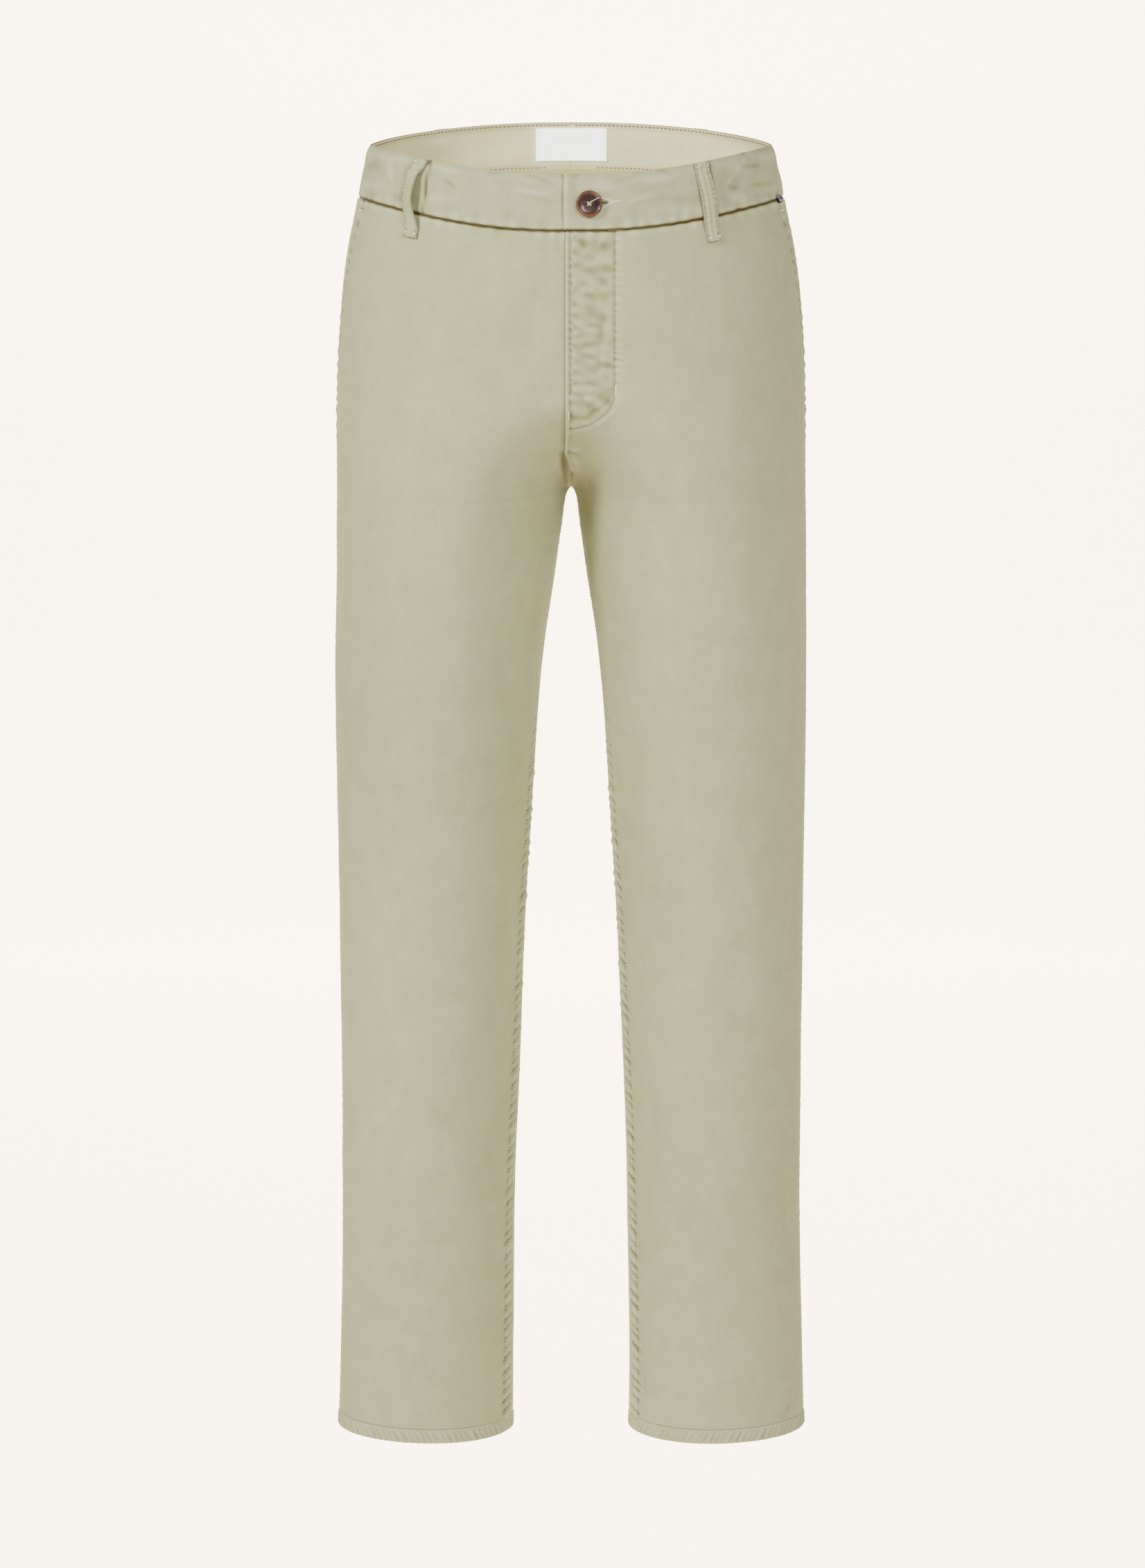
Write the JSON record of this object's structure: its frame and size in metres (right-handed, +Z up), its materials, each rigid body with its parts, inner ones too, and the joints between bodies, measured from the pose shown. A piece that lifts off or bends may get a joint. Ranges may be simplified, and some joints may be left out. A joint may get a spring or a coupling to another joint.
{
  "type": "chino trousers",
  "caption": "Straight-leg chino trousers in smooth twill, filled out as worn and empty inside, with a buttoned waistband, fly, slanted pockets and belt loops.",
  "frame": {"origin": "centre of the waist opening, level with the top edge of the waistband at the side seams", "axes": "+Z up, out of the waist opening; +X to the wearer's left; the front faces -Y"},
  "size_m": [0.3956, 0.261, 1.0942],
  "materials": {
    "cloth": "smooth sage-khaki cotton twill with a soft matt face",
    "facing": "pale cream cotton inside the waistband",
    "label": "bare white woven ribbon",
    "tab": "plain dark navy folded ribbon",
    "button": "dark brown horn-look resin, polished"
  },
  "bodies": {
    "root": {"front_left": "cloth", "front_right": "cloth", "back_left": "cloth", "back_right": "cloth", "pocket_facing_left": "cloth", "pocket_facing_right": "cloth", "fly_lap": "cloth", "waistband_left": "cloth", "waistband_right": "cloth", "belt_loop_front_left": "cloth", "belt_loop_front_right": "cloth", "belt_loop_back_left": "cloth", "belt_loop_back_right": "cloth", "belt_loop_centre_back": "cloth", "waist_facing_left": "facing", "waist_facing_right": "facing", "woven_label": "label", "side_tab": "tab", "waist_button": "button"}
  },
  "joints": []
}
